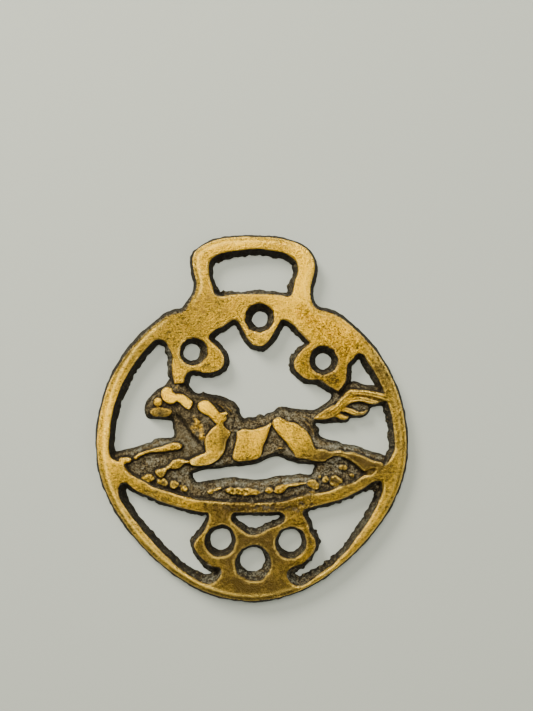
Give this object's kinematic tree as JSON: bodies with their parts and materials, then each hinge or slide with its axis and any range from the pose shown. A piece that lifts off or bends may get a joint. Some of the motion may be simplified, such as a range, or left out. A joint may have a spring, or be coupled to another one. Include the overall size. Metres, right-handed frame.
{
  "type": "horse brass",
  "caption": "Cast brass harness ornament: a pierced disc under a strap loop, with a galloping horse in relief inside the rim.",
  "frame": {"origin": "middle of the bounding box, on the flat back of the plate", "axes": "+Z out of the face with the horse, +Y from the disc up to the strap loop, +X to the right across the face, towards the horse's tail"},
  "size_m": [0.0772, 0.0906, 0.004],
  "materials": {
    "cast_brass": "sand-cast brass, worn golden on the high faces, dark brown to grey patina in the recesses and on the drafted walls"
  },
  "bodies": {
    "root": {"horse_brass": "cast_brass"}
  },
  "joints": []
}
